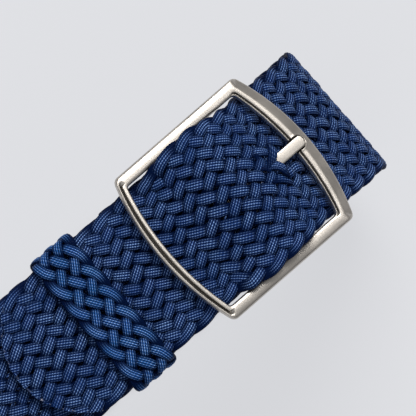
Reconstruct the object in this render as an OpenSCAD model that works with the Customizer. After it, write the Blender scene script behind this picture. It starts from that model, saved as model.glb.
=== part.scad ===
// Braided watch strap, buckled into a loop that stands on the flat where the watch sits.
// X runs along the strap towards the buckle's front bar, Y across it, Z up.
// The origin is on the ground, midway between the loop's two ends.

/* [Band] */
// Width of the braided band
band_w = 20; // [16:0.5:24]
// Thickness of one layer of braid
band_t = 1.3; // [1.1:0.05:1.5]
// Gap between two layers that lie on each other
layer_gap = 0.3; // [0.25:0.05:0.5]

/* [Loop] */
// Height of the loop, from the ground to the top of the tail
loop_h = 44.5; // [40:0.5:50]
// Distance from the buckle's bar to where the band turns down at the rear
rear_run = 38; // [34:0.5:44]
// Distance from the buckle's bar to the loop's front end
front_reach = 18.3; // [17.5:0.1:22]
// Outer radius of the band in front of the buckle
front_r = 24; // [22:0.5:27]
// Steepness of the band where it passes under the front bar, in degrees
dive_angle = 57; // [50:1:60]
// Length over which the band comes down from the bar to its flat run
rise_run = 11; // [10:0.5:12]

/* [Tail and fold] */
// Distance from the buckle's bar to the tip of the tail
tail_reach = 37.3; // [34:0.1:40]
// How much larger the tip's radius is than half the band's width
tip_blunt = 1; // [0.5:0.25:3]
// Distance from the buckle's bar to the cut end of the doubled layer
fold_reach = 15; // [14:0.5:15.5]
// Width of a melted edge
seal_w = 0.6; // [0.4:0.1:1]
// Gap between the two layers that are sewn together
sewn_gap = 0.1; // [0.05:0.05:0.2]
// Thickness of the sewing thread
thread_t = 0.2; // [0.1:0.05:0.25]
// Length of one stitch
stitch_l = 1.6; // [1:0.1:2]
// Margin between a row of stitches and the band's edge
stitch_margin = 0.4; // [0.2:0.1:1.5]
// Number of stitches in a row
stitch_count = 8; // [4:1:8]
// Distance from the bar to the first row of stitches
stitch_row_a = 11.9; // [11.6:0.1:12.2]
// Distance from the first row of stitches to the second
stitch_row_step = 2; // [1:0.1:2.4]

/* [Keeper] */
// Width of the keeper, along the strap
keeper_w = 6.4; // [5:0.1:8]
// Thickness of the keeper's braid
keeper_t = 1.1; // [0.8:0.1:1.5]
// Clearance round the layers inside the keeper
keeper_gap = 0.3; // [0.25:0.05:0.6]
// Distance from the buckle's bar to the keeper's near edge
keeper_x = 19.5; // [19.5:0.1:21]
// Width of the melted join under the strap
join_w = 2.4; // [1.5:0.1:4]
// How far the keeper can move away from the buckle
keeper_back = 2; // [1:0.5:3]

/* [Buckle frame] */
// Thickness of the frame
frame_t = 1.5; // [1.4:0.05:1.7]
// Gap between the band and a side bar of the frame
window_gap = 0.4; // [0.35:0.05:1]
// Radius of a bar's rounded edges, as a share of the frame's thickness
edge_share = 0.4; // [0.1:0.05:0.45]
// Width of a side bar
side_w = 1.75; // [1.6:0.05:2.5]
// Width of the front bar
front_w = 2.6; // [2.4:0.1:3]
// Width of the rear bar
rear_w = 1.5; // [1.2:0.1:1.8]
// Distance from the centre bar to the middle of the front bar's outer edge
front_out = 12.95; // [12.85:0.05:13.4]
// Distance from the centre bar to the middle of the rear bar's outer edge
rear_out = 13.05; // [12.9:0.05:13.4]
// Radius of the front bar's bowed outer edge
front_bow_r = 32.6; // [28:0.2:40]
// Radius of the front bar's bowed inner edge
front_inner_r = 38; // [33:0.2:44]
// Radius of the rear bar's bowed outer edge
rear_bow_r = 35.2; // [30:0.2:44]
// Radius of the rear bar's bowed inner edge
rear_inner_r = 40; // [34:0.2:46]
// Forward tilt of the whole buckle, in degrees
tilt = 14; // [13:0.5:15]
// Least gap between the front bar and the band under it, wherever the buckle rocks to
front_gap = 0.3; // [0.25:0.05:0.5]
// Least gap between the rear bar and the band under it, wherever the buckle rocks to
rear_gap = 0.3; // [0.25:0.05:0.5]

/* [Spring bar] */
// Radius of the spring bar's tube
bar_r = 0.65; // [0.6:0.01:0.7]
// Running clearance between a shaft and its hole
run_gap = 0.04; // [0.02:0.01:0.06]
// Radius of the spring bar's tips
pivot_r = 0.38; // [0.3:0.01:0.42]
// Length of a tip inside its hole
pivot_l = 0.9; // [0.7:0.05:1]
// Thickness of the shoulder on a tip
shoulder_t = 0.4; // [0.3:0.05:0.5]
// Travel of a tip
tip_stroke = 1; // [0.95:0.01:1.1]
// Length of the guide rod on a tip
rod_l = 3.4; // [2:0.1:5]
// Radius of the spring wire
wire_r = 0.07; // [0.05:0.005:0.08]
// Number of turns of the spring
spring_turns = 15; // [8:1:18]
// Side clearance between the bar or the frame and soft or moving parts
side_gap = 0.1; // [0.05:0.01:0.15]

/* [Tongue] */
// Width of the tongue
tongue_w = 1.6; // [1.2:0.1:2]
// Thickness of the tongue
tongue_t = 0.5; // [0.4:0.05:0.6]
// Distance from the bar to the tip of the tongue
tongue_l = 12.1; // [11.8:0.1:12.2]
// How far the tongue can lift, in degrees
tongue_lift = 8; // [4:1:10]
// Clearance round the tongue in the braid and in its notch
tongue_gap = 0.3; // [0.2:0.05:0.4]
// Gap between the tip and the floor of its notch
notch_gap = 0.05; // [0.02:0.01:0.1]
// How far the tip stands above the frame's face
tip_proud = 0.05; // [0:0.05:0.1]

/* [Movement] */
// How far the buckle can rock forward, in degrees
rock_forward = 2.5; // [1:0.5:2.5]
// How far the buckle can rock back, in degrees
rock_back = 1; // [0.5:0.5:1]

/* [Hidden] */
$fn = 64;

navy = "midnightblue";
steel = "silver";
cut = 0.01;                 // small overlap so that cuts go right through
arc_step = 4;               // degrees between the points of an arc

// The band's middle line, in the XZ plane, with the buckle's bar at x = 0.
fold_r = bar_r + side_gap + band_t / 2;
layer_step = band_t + layer_gap;
sewn_step = band_t + sewn_gap;
tail_z = loop_h - band_t / 2;
under_z = tail_z - layer_step;
return_z = under_z - sewn_step;

// The buckle's bars are bowed, so their inner edges stand further in at the band's edges.
edge_r = frame_t * edge_share;
edge_n = frame_t / 2 - edge_r;
function bow_sag(r) = r - sqrt(r * r - band_w * band_w / 4);
front_edge_a = front_out - front_w - bow_sag(front_inner_r) + edge_r;
rear_edge_a = rear_out - rear_w - bow_sag(rear_inner_r) + edge_r;
// The spring bar sits where the rear bar just clears the band, with the buckle rocked back.
tilt_back = tilt - rock_back;
bar_z = loop_h + rear_gap + edge_r + edge_n * cos(tilt_back) - rear_edge_a * sin(tilt_back);
fold_top_z = bar_z + fold_r;
fold_low_z = bar_z - fold_r;
over_top_z = fold_top_z + layer_step;

rear_turn_r = (under_z - band_t / 2) / 2;
front_mid_r = front_r - band_t / 2;
front_mid_x = front_reach - band_t / 2;
turn_left = 90 - dive_angle;
// The hump over the bar is as round as the front bar's ends allow, with the buckle rocked forward.
tilt_forward = tilt + rock_forward;
front_edge_x = front_edge_a * cos(tilt_forward) - edge_n * sin(tilt_forward);
front_edge_z = bar_z - front_edge_a * sin(tilt_forward) - edge_n * cos(tilt_forward);
dive_level = front_edge_x * sin(dive_angle) + front_edge_z * cos(dive_angle)
    - edge_r - front_gap - band_t / 2;
hump_mid_r = (dive_level - over_top_z * cos(dive_angle)) / (1 - cos(dive_angle));
// Length of the straight dive between the hump and the front arc.
dive_dx = (front_mid_x - front_mid_r) + front_mid_r * cos(turn_left) - hump_mid_r * cos(turn_left);
dive_l = dive_dx / cos(dive_angle);
front_centre_z = over_top_z - hump_mid_r + hump_mid_r * sin(turn_left) - dive_l * sin(dive_angle)
    - front_mid_r * sin(turn_left);
low_turn_r = front_centre_z - band_t / 2;
base_run = rear_run + front_mid_x - low_turn_r;

// The whole part is shifted so that the origin is midway between the loop's ends.
rear_end = rear_run + rear_turn_r + band_t / 2;
shift_x = (rear_end - front_reach) / 2;

tip_r = band_w / 2 + tip_blunt;
window_w = band_w + 2 * window_gap;
stitch_pitch = (band_w - 2 * stitch_margin) / stitch_count;
tail_hinge_x = keeper_x + keeper_w + keeper_back + layer_gap;

// A stretch of path is a list of [length, turn in degrees]; a turn of 0 is straight.
function arc(r, turn) = [r * abs(turn) * PI / 180, turn];
// Two equal arcs that shift the band sideways by dz over dx and leave its direction as it was.
function shift_angle(dx, dz) = 2 * atan(abs(dz) / dx);
function shift_r(dx, dz) = dx / (2 * sin(shift_angle(dx, dz)));
function side_step(dx, dz) = abs(dz) < cut ? [[dx, 0]]
    : let (a = shift_angle(dx, dz), s = sign(dz), r = shift_r(dx, dz)) [arc(r, s * a), arc(r, -s * a)];

// A state is [x, z, heading]. Each segment gives the states along it.
function step(s, l, turn) = turn == 0
    ? [s[0] + l * cos(s[2]), s[1] + l * sin(s[2]), s[2]]
    : let (r = l / (turn * PI / 180), h = s[2] + turn)
      [s[0] + r * (sin(h) - sin(s[2])), s[1] - r * (cos(h) - cos(s[2])), h];
function segment_states(s, seg) = seg[1] == 0
    ? [step(s, seg[0], 0)]
    : let (n = ceil(abs(seg[1]) / arc_step)) [for (i = [1 : n]) step(s, seg[0] * i / n, seg[1] * i / n)];
function states(s, segs, i = 0) = i == len(segs)
    ? [s]
    : concat([s], segment_tail(s, segs, i));
function segment_tail(s, segs, i) = i == len(segs)
    ? []
    : let (part = segment_states(s, segs[i])) concat(part, segment_tail(part[len(part) - 1], segs, i + 1));
function last_state(s, segs) = let (all = states(s, segs)) all[len(all) - 1];
function side_point(s, d) = [s[0] - d * sin(s[2]), s[1] + d * cos(s[2])];
function band_outline(all) = concat(
    [for (s = all) side_point(s, band_t / 2)],
    [for (i = [len(all) - 1 : -1 : 0]) side_point(all[i], -band_t / 2)]);

// The stretches, in order along the band, each starting where the one before it ends.
fold_start = [-fold_reach, return_z, 0];
fold_segs = concat([[fold_reach - rise_run, 0]], side_step(rise_run, fold_low_z - return_z),
    [arc(fold_r, 180)], side_step(rise_run, fold_top_z - under_z));
under_start = last_state(fold_start, fold_segs);
under_segs = [[rear_run - rise_run, 0]];
loop_start = last_state(under_start, under_segs);
loop_segs = [arc(rear_turn_r, 180), [base_run, 0], arc(low_turn_r, 90), arc(front_mid_r, turn_left)];
over_start = last_state(loop_start, loop_segs);
over_segs = concat([[dive_l, 0], arc(hump_mid_r, dive_angle)], side_step(rise_run, over_top_z - tail_z),
    [[tail_hinge_x - rise_run, 0]]);

// Places a shape drawn in the XZ plane and gives it a width across the strap.
module across(width) {
    rotate([90, 0, 0]) linear_extrude(height = width, center = true) children();
}
module placed() {
    translate([shift_x, 0, 0]) children();
}
module band_stretch(start, segs) {
    across(band_w) polygon(band_outline(states(start, segs)));
}
// The buckle's own frame: x forward along it, z square to it, at the spring bar.
module on_buckle() {
    placed() translate([0, 0, bar_z]) rotate([0, tilt, 0]) children();
}

// Buckle frame
bow_facets = 240;
side_x = window_w / 2;
frame_half_w = side_x + side_w;
notch_w = tongue_w + tongue_gap;
hole_r = pivot_r + run_gap;
roll_in = bar_r + run_gap;
roll_out = roll_in + tongue_t;
tip_low = frame_t / 2 + tip_proud - tongue_t;
notch_floor = tip_low - notch_gap;

// Points along an arc of radius r.
function corner(x, y, r, from) = [for (a = [0 : 15 : 90]) [x + r * cos(from + a), y + r * sin(from + a)]];
function reversed(points) = [for (i = [len(points) - 1 : -1 : 0]) points[i]];
function mirrored(points) = [for (p = reversed(points)) [-p[0], p[1]]];
// Half of a section whose rim, at x, is rounded outwards like a bar's outer edge.
function full_rim(x) = concat(
    corner(x - edge_r, -edge_n, edge_r, -90),
    corner(x - edge_r, edge_n, edge_r, 0));
// Half of a section whose rim flares at top and bottom, as the opening between rounded bars does.
function flared_rim(x) = concat([[x + edge_r, -frame_t]],
    reversed(corner(x + edge_r, -edge_n, edge_r, 180)),
    reversed(corner(x + edge_r, edge_n, edge_r, 90)), [[x + edge_r, frame_t]]);
module disc(rim) {
    low = rim[0][1];
    high = rim[len(rim) - 1][1];
    rotate_extrude($fn = bow_facets) polygon(concat([[0, low]], rim, [[0, high]]));
}
module beam(rim) {
    rotate([90, 0, 90]) linear_extrude(height = 4 * rear_out, center = true)
        polygon(concat(rim, mirrored(rim)));
}
// The frame is the form inside both outer bows, less the opening inside both inner bows.
module frame_body() {
    difference() {
        intersection() {
            translate([front_out - front_bow_r, 0, 0]) disc(full_rim(front_bow_r));
            translate([rear_bow_r - rear_out, 0, 0]) disc(full_rim(rear_bow_r));
            beam(full_rim(frame_half_w));
        }
        intersection() {
            translate([front_out - front_w - front_inner_r, 0, 0]) disc(flared_rim(front_inner_r));
            translate([rear_inner_r - rear_out + rear_w, 0, 0]) disc(flared_rim(rear_inner_r));
            beam(flared_rim(side_x));
        }
    }
}
module buckle_frame() {
    color(steel) on_buckle() difference() {
        frame_body();
        for (s = [-1, 1]) translate([0, s * (side_x + pivot_l / 2 + side_gap / 2), 0]) rotate([90, 0, 0])
            cylinder(h = pivot_l + side_gap + 2 * cut, r = hole_r, center = true);
        tongue_notch();
    }
}
module tongue_notch() {
    translate([0, 0, notch_floor]) linear_extrude(height = frame_t) union() {
        translate([0, -notch_w / 2]) square([tongue_l + tongue_gap / 2 - notch_w / 2, notch_w]);
        translate([tongue_l + tongue_gap / 2 - notch_w / 2, 0]) circle(d = notch_w);
    }
}

// Spring bar
tip_y = side_x - side_gap;
tube_half = tip_y - shoulder_t - tip_stroke;
bore_r = pivot_r + run_gap;
rod_end = tip_y - shoulder_t - rod_l;
module bar_tube() {
    color(steel) on_buckle() rotate([90, 0, 0]) difference() {
        cylinder(h = 2 * tube_half, r = bar_r, center = true);
        cylinder(h = 2 * tube_half + 1, r = bore_r, center = true);
    }
}
module bar_tip() {
    color(steel) on_buckle() rotate([-90, 0, 0]) union() {
        translate([0, 0, rod_end]) cylinder(h = tip_y + pivot_l - rod_end, r = pivot_r);
        translate([0, 0, tip_y - shoulder_t]) cylinder(h = shoulder_t, r = bar_r);
    }
}
module bar_tip_left() { bar_tip(); }
module bar_tip_right() { mirror([0, 1, 0]) bar_tip(); }

// The spring is one tube swept along a helix, with its ends against the two rods.
spring_half = rod_end - wire_r - cut;
spring_r = bore_r - run_gap - wire_r;
rings_per_turn = 8;
wire_sides = 6;
spring_rings = spring_turns * rings_per_turn;
function helix_point(i, a) = let (t = i * 360 / rings_per_turn, r = spring_r + wire_r * cos(a))
    [r * cos(t), r * sin(t), -spring_half + 2 * spring_half * i / spring_rings + wire_r * sin(a)];
function ring_index(i, k) = i * wire_sides + k % wire_sides;
module bar_spring() {
    points = [for (i = [0 : spring_rings], k = [0 : wire_sides - 1]) helix_point(i, k * 360 / wire_sides)];
    walls = [for (i = [0 : spring_rings - 1], k = [0 : wire_sides - 1], h = [0, 1])
        h == 0 ? [ring_index(i, k), ring_index(i + 1, k), ring_index(i + 1, k + 1)]
               : [ring_index(i, k), ring_index(i + 1, k + 1), ring_index(i, k + 1)]];
    start_cap = [for (k = [1 : wire_sides - 2]) [0, k, k + 1]];
    end_cap = [for (k = [1 : wire_sides - 2]) [ring_index(spring_rings, 0), ring_index(spring_rings, k + 1),
        ring_index(spring_rings, k)]];
    color(steel) on_buckle() rotate([90, 0, 0]) polyhedron(points, concat(walls, start_cap, end_cap));
}

// Tongue: a strip rolled round the bar, its free end in the notch of the front bar.
module tongue_profile() {
    difference() {
        union() {
            circle(r = roll_out);
            polygon([[0, roll_in], [tongue_l, tip_low], [tongue_l, tip_low + tongue_t], [0, roll_out]]);
        }
        circle(r = roll_in);
    }
}
module tongue() {
    color(steel) on_buckle() intersection() {
        across(tongue_w) tongue_profile();
        linear_extrude(height = 4 * roll_out, center = true) union() {
            translate([-2 * roll_out, -tongue_w / 2])
                square([tongue_l - tongue_w / 2 + 2 * roll_out, tongue_w]);
            translate([tongue_l - tongue_w / 2, 0]) circle(d = tongue_w);
        }
    }
}

// The room that the tongue needs in the braid, over its lift and the buckle's rocking.
slit_w = tongue_w + 2 * tongue_gap;
function turned(p, a) = [p[0] * cos(a) - p[1] * sin(a), p[0] * sin(a) + p[1] * cos(a)];
slit_near = 2 * roll_out;
slit_far = tongue_l;
slit_low = -rock_forward;
slit_high = tongue_lift + rock_back;
module tongue_slit() {
    on_buckle() across(slit_w) polygon([
        turned([slit_near, roll_in - tongue_gap], slit_low),
        turned([slit_far, tip_low - tongue_gap], slit_low),
        turned([slit_far, tip_low + tongue_t + tongue_gap], slit_high),
        turned([slit_near, roll_out + tongue_gap], slit_high)]);
}

// The band, in five stretches
module strap_fold() {
    color(navy) difference() {
        placed() band_stretch(fold_start, fold_segs);
        placed() translate([-roll_out - tongue_gap, -slit_w / 2, fold_low_z - band_t])
            cube([roll_out + tongue_gap + fold_r + band_t, slit_w, over_top_z - fold_low_z + band_t]);
    }
}
module strap_under() {
    color(navy) placed() band_stretch(under_start, under_segs);
}
module strap_loop() {
    color(navy) placed() band_stretch(loop_start, loop_segs);
}
module strap_over() {
    color(navy) difference() {
        placed() band_stretch(over_start, over_segs);
        tongue_slit();
    }
}

// Outline of the tail's end, seen from above, drawn back by d from the cut.
hinge_gap = side_gap;
module tail_outline(d) {
    intersection() {
        translate([-tail_hinge_x - hinge_gap - rear_run, -band_w / 2]) square([rear_run, band_w]);
        translate([tip_r - tail_reach, 0]) circle(r = tip_r - d, $fn = 120);
    }
    translate([tip_r - tail_reach, -band_w / 2])
        square([max(cut, tail_reach - tip_r - tail_hinge_x - hinge_gap), band_w]);
}
module tail_slab(d) {
    placed() translate([0, 0, loop_h - band_t]) linear_extrude(height = band_t) intersection() {
        tail_outline(d);
        translate([-tail_reach, -band_w / 2]) square([tail_reach - tail_hinge_x - hinge_gap, band_w]);
    }
}
module strap_tail() {
    color(navy) tail_slab(seal_w);
}
module tail_seal() {
    color("royalblue") difference() {
        tail_slab(0);
        tail_slab(seal_w);
    }
}
module fold_seal() {
    color("royalblue") placed() translate([-fold_reach - seal_w, -band_w / 2, return_z - band_t / 2])
        cube([seal_w, band_w, band_t]);
}

// Stitches: a bar of thread on each outer face, joined by legs through both layers.
stitch_top = under_z + band_t / 2;
stitch_low = return_z - band_t / 2;
module stitch() {
    translate([-thread_t / 2, -stitch_l / 2, stitch_low - thread_t])
        cube([thread_t, stitch_l, thread_t]);
    translate([-thread_t / 2, -stitch_l / 2, stitch_top])
        cube([thread_t, stitch_l, thread_t / 2]);
    for (s = [-1, 1])
        translate([-thread_t / 2, s * (stitch_l - thread_t) / 2 - thread_t / 2, stitch_low - cut])
        cube([thread_t, thread_t, stitch_top - stitch_low + 2 * cut]);
}
module fold_stitches() {
    color("navy") placed() for (row = [0, 1], i = [0 : stitch_count - 1])
        translate([-stitch_row_a - row * stitch_row_step, (i - (stitch_count - 1) / 2) * stitch_pitch, 0])
            stitch();
}

// Keeper: a rounded ring round both layers, its two ends joined underneath.
keep_top = loop_h + keeper_gap;
keep_low = under_z - band_t / 2 - keeper_gap;
keep_half = band_w / 2 + keeper_gap;
function ring_outline(g, r) = let (y = keep_half + g - r, top = keep_top + g - r, low = keep_low - g + r)
    concat(corner(y, top, r, 0), corner(-y, top, r, 90), corner(-y, low, r, 180), corner(y, low, r, 270));
module keeper() {
    color(navy) difference() {
        placed() translate([-keeper_x - keeper_w, 0, 0]) rotate([90, 0, 90]) linear_extrude(height = keeper_w)
            difference() {
                polygon(ring_outline(keeper_t, keeper_t + keeper_gap));
                polygon(ring_outline(0, keeper_gap));
            }
        placed() translate([-keeper_x - keeper_w - 1, -join_w / 2, keep_low - 2 * keeper_t])
            cube([keeper_w + 2, join_w, 2 * keeper_t + cut]);
    }
}
module keeper_join() {
    color("royalblue") placed() translate([-keeper_x - keeper_w, -join_w / 2, keep_low - keeper_t])
        cube([keeper_w, join_w, keeper_t]);
}

buckle_frame();
bar_tube();
bar_tip_left();
bar_tip_right();
bar_spring();
tongue();
strap_fold();
fold_stitches();
fold_seal();
strap_under();
strap_loop();
strap_over();
strap_tail();
tail_seal();
keeper();
keeper_join();
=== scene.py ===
"""The looks of a braided watch strap: braid, keeper, melted edges, stitches, buckle and tongue."""

import math

import bmesh
import bpy
import numpy as np
from bpy.props import FloatProperty, FloatVectorProperty, IntProperty, PointerProperty
from mathutils import Matrix, Vector


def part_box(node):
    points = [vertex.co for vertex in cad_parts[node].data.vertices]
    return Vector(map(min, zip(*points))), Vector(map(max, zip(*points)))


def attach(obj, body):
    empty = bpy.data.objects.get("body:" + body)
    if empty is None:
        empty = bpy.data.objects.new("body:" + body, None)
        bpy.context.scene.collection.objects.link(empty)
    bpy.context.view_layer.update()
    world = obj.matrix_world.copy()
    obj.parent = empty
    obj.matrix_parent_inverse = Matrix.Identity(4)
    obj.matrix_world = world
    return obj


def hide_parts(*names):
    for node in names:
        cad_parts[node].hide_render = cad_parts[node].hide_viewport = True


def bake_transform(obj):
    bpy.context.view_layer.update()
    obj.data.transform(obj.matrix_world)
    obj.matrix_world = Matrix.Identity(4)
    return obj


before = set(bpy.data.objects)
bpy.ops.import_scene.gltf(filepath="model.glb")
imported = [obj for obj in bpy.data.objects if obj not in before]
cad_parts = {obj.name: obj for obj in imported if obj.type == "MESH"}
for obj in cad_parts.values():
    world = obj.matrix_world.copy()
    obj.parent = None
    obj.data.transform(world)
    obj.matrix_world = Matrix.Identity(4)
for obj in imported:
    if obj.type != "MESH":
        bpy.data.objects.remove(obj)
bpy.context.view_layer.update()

bl_info = {
    "name": "Braided watch strap",
    "version": (1, 0, 0),
    "blender": (4, 5, 0),
    "location": "3D View > Sidebar > Strap",
    "description": "Builds the looks of a braided watch strap round its packed solids",
    "category": "Object",
}

MM = 0.001
FULL_TURN = 2 * math.pi

# A unit is half a cell of the braid, and each cord has this many rings of points in it.
RINGS_PER_UNIT = 6
# How far before and behind a point its cord's direction is read, in units.
NUDGE = 0.02


# Sizes and colours


def length(mm, name, description):
    return FloatProperty(name=name, description=description, default=mm * MM, unit="LENGTH", precision=5)


def lengths(mm, name, description):
    return FloatVectorProperty(
        name=name, description=description, default=[v * MM for v in mm], size=2, unit="LENGTH", precision=5
    )


def share(value, name, description):
    return FloatProperty(name=name, description=description, default=value, precision=4)


def count(value, name, description):
    return IntProperty(name=name, description=description, default=value, min=1)


def angle(degrees, name, description):
    return FloatProperty(
        name=name, description=description, default=math.radians(degrees), unit="ROTATION"
    )


def colour(rgb, name, description):
    return FloatVectorProperty(
        name=name, description=description, default=rgb, size=3, min=0, max=1, subtype="COLOR"
    )


class BandSizes(bpy.types.PropertyGroup):
    """Where the band runs"""

    thickness: length(1.3, "Band thickness", "Thickness of one layer of braid")
    layer_gap: length(0.3, "Layer gap", "Gap between two layers that lie on each other")
    sewn_gap: length(0.1, "Sewn gap", "Gap between the two layers that are sewn together")
    loop_height: length(44.5, "Loop height", "Height of the top of the tail")
    rear_run: length(38, "Rear run", "Distance from the bar to where the band turns down")
    front_reach: length(18.4, "Front reach", "Distance from the bar to the loop's front end")
    front_radius: length(12, "Front radius", "Outer radius of the band in front of the buckle")
    low_radius: length(17.41, "Low radius", "Outer radius of the band where it turns into the base")
    hump_radius: length(7.114, "Hump radius", "Outer radius of the band where it goes over the bar")
    dive_angle: angle(57, "Dive angle", "Steepness of the band under the front bar")
    rise_run: length(11, "Rise run", "Length over which the band comes down from the bar")
    wrap_radius: length(1.4, "Wrap radius", "Radius of the middle of the layer wrapped round the bar")
    fold_reach: length(15, "Fold reach", "Distance from the bar to the cut end of the doubled layer")
    tail_reach: length(37.3, "Tail reach", "Distance from the bar to the tip of the tail")
    tail_radius: length(11, "Tail radius", "Radius of the rounded tip")
    hinge_reach: length(28.2, "Hinge reach", "Distance from the bar to where the tail can lift")
    bulge: length(0.45, "Bulge", "How far the middle of the band arches out under the front bar")
    bulge_ahead: length(11.5, "Bulge place", "Distance along the band from the bar to the bulge's middle")
    bulge_size: lengths((9.5, 10), "Bulge size", "Half of the bulge's length and half of its width")
    edge_lift: length(1.25, "Edge lift", "How far the edges rise where they lie on the side bars")
    edge_behind: length(6.6, "Edge place", "Distance along the band from the bar to the edges' highest place")
    edge_length: length(5.8, "Edge length", "Half of the length over which the edges rise")
    edge_from: length(7.8, "Edge start", "Distance from the band's middle to where the rise starts")
    edge_width: length(2.1, "Edge width", "Width over which the rise grows")


class BraidSizes(bpy.types.PropertyGroup):
    """How the band is braided"""

    strands: count(20, "Strands", "Number of cords in the band")
    width: length(19.7, "Lattice width", "Distance between the two edges of the lattice")
    pitch: length(3.85, "Cell pitch", "Length of one cell of the braid, along the band")
    loop_stretch: share(1.0145, "Loop stretch", "Length of the loop's cells, as a share of the pitch")
    strand_width: length(1.56, "Cord width", "Width of one cord")
    strand_spacing: length(1.68, "Cord spacing", "Distance between the cords at which they have that width")
    strand_thickness: length(0.7, "Cord thickness", "Thickness of one cord")
    wave: length(0.34, "Wave", "How far a cord rises and sinks at each crossing")
    groove: length(0.075, "Groove", "Depth of the grooves between the yarns of a cord")
    yarns: count(5, "Yarns", "Number of yarns side by side in a cord")
    lean: share(0.1, "Lean", "How much higher the cords of one direction lie, as a share of the wave")
    lean_change: lengths((12, 24), "Lean change", "Distances behind the bar between which that changes over")
    middle_spread: share(0.022, "Middle spread", "How much more room the middle rows take")
    wander: length(0.1, "Wander", "How far a cord strays from its course")
    sway: lengths((0.3, 0.22), "Sway", "How uneven the whole lattice is, along the band and across it")
    calm: length(6, "Calm", "Distance from the tongue's hole at which the sway is at its full size")


class HoleSizes(bpy.types.PropertyGroup):
    """How the cords make way where the tongue comes through the braid"""

    part: length(1.02, "Parting", "How far the cords at the hole part")
    part_reach: lengths((1.2, 2.4), "Parting reach", "Reach of the parting, along the band and across it")
    part_edge: length(0.4, "Parting edge", "Distance from the middle at which a cord has moved most of it")
    shove: length(0.35, "Shove", "How far the cords behind the hole are shoved to one side")
    shove_behind: length(0.8, "Shove place", "Distance from the hole to where they are shoved most")
    shove_reach: lengths((2.5, 3), "Shove reach", "Reach of the shove, along the band and across it")
    # Painted light: near the hole the deep parts of the cords get less painted shade.
    shade_lift: share(0.6, "Bared", "How far the deep parts of the cords are lit as if they lay on top")
    shade_lift_reach: lengths((2.5, 2.5), "Bared reach", "Reach of that, along the band and across it")
    ride_up: length(1.1, "Ride up", "How far the whole band rides up on the tongue")
    ride_reach: lengths((3.6, 4.5), "Ride reach", "Reach of that, along the band and across it")
    clearance: length(0.36, "Clearance", "Least gap between the tongue and the cords over and under it")
    settle: length(0.15, "Settle", "How softly a cord's course bends away from the tongue")
    swap: length(0.8, "Swap", "Length over which the cords change from under the tongue to over it")
    beside: lengths((1.3, 1.6), "Beside", "How far to each side all cords make way, and the fade from there")
    along: lengths((4, 3), "Along", "The same two sizes along the band")
    past_tip: length(1, "Past the tip", "How far in front of the tongue's tip the cords still run under it")
    slit: lengths((2.9, 1.8), "Slit", "Half length and half width of the doubled end's slit for the roll")


class KeeperSizes(bpy.types.PropertyGroup):
    """The sliding keeper"""

    near: length(19.75, "Near edge", "Distance from the bar to the keeper's near edge")
    width: length(6.4, "Width", "Width of the keeper along the strap")
    half: length(10.55, "Half width", "Half of the ring's width, at the middle of the braid")
    top: length(45.35, "Top", "Height of the middle of the ring's upper side")
    low: length(40.75, "Low", "Height of the middle of the ring's lower side")
    corner: length(1.5, "Corner", "Radius of the ring's corners")
    strands: count(6, "Strands", "Number of cords in the keeper")
    units: count(28, "Units", "Half cells round the ring")
    cord_width: length(1.46, "Cord width", "Width of one cord of the keeper")
    row: length(1.16, "Row", "Distance between two rows of cords")
    wave: length(0.3, "Wave", "How far a cord rises and sinks at each crossing")
    lean: share(-0.14, "Lean", "How much higher the cords of one direction lie, as a share of the wave")
    take_up: share(1.15, "Take-up", "How much longer a cord is than the ring's middle line")


class EndSizes(bpy.types.PropertyGroup):
    """The melted ends and the stitches"""

    tail_bead: lengths((0.16, 0.46), "Tail bead", "Half width and half height of the tail's melted edge")
    fold_bead: lengths((0.3, 0.6), "Fold bead", "The same of the doubled end's melted edge")
    fold_shift: length(0.1, "Fold shift", "How far the doubled end's bead is drawn into the braid")
    per_row: count(8, "Stitches in a row", "Number of stitches in each of the two rows")
    thread: length(0.11, "Thread radius", "Half of the thread's thickness")
    stitch_half: length(0.74, "Half stitch", "Half of a stitch's length")
    stitch_margin: length(0.8, "Stitch margin", "Distance from the last stitch's middle to the row's end")


class BuckleSizes(bpy.types.PropertyGroup):
    """The buckle's frame, in its own plane"""

    tilt: angle(14, "Tilt", "Forward tilt of the buckle")
    rock: angle(2.5, "Rock", "How much further forward the buckle can tip")
    front_out: length(12.95, "Front reach", "Distance from the bar to the front bar's outer edge")
    rear_out: length(13.05, "Rear reach", "Distance from the bar to the rear bar's outer edge")
    front_width: length(2.6, "Front width", "Width of the front bar")
    rear_width: length(1.5, "Rear width", "Width of the rear bar")
    half_outer: length(12.2, "Outer half width", "Half of the frame's width")
    half_inner: length(10.35, "Inner half width", "Half of the window's width")
    front_bow: length(32.6, "Front bow", "Radius of the front bar's outer edge")
    front_inner_bow: length(38, "Front inner bow", "Radius of the front bar's inner edge")
    rear_bow: length(35.2, "Rear bow", "Radius of the rear bar's outer edge")
    rear_inner_bow: length(40, "Rear inner bow", "Radius of the rear bar's inner edge")
    corner: length(0.7, "Corner", "Radius of the frame's outer corners")
    inner_corner: length(0.5, "Inner corner", "Radius of the window's corners")
    notch_width: length(1.9, "Notch width", "Width of the notch for the tongue")
    notch_reach: length(12.25, "Notch reach", "Distance from the bar to the end of the notch")
    notch_floor: length(0.25, "Notch floor", "Height of the notch's floor above the frame's middle")
    notch_wall: length(0.12, "Notch wall", "Width over which the notch's wall slopes")
    notch_rim: length(0.03, "Notch rim", "Height of the low rim that is pressed up round the notch")


class TongueSizes(bpy.types.PropertyGroup):
    """The tongue"""

    width: length(1.6, "Width", "Width of the tongue")
    thickness: length(0.5, "Thickness", "Thickness of the tongue")
    reach: length(12.1, "Reach", "Distance from the bar to the tip")
    roll: length(0.69, "Roll", "Inner radius of the roll round the bar")
    roll_start: angle(-205, "Roll start", "Where the roll's free end lies, counted up from straight ahead")
    roll_end: angle(92, "Roll end", "Where the roll meets the strip, counted in the same way")
    tip_low: length(0.3, "Tip height", "Height of the tip's underside above the frame's middle")
    lift: angle(8, "Lift", "How far the tongue can lift under the cords that cross over it")


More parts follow.
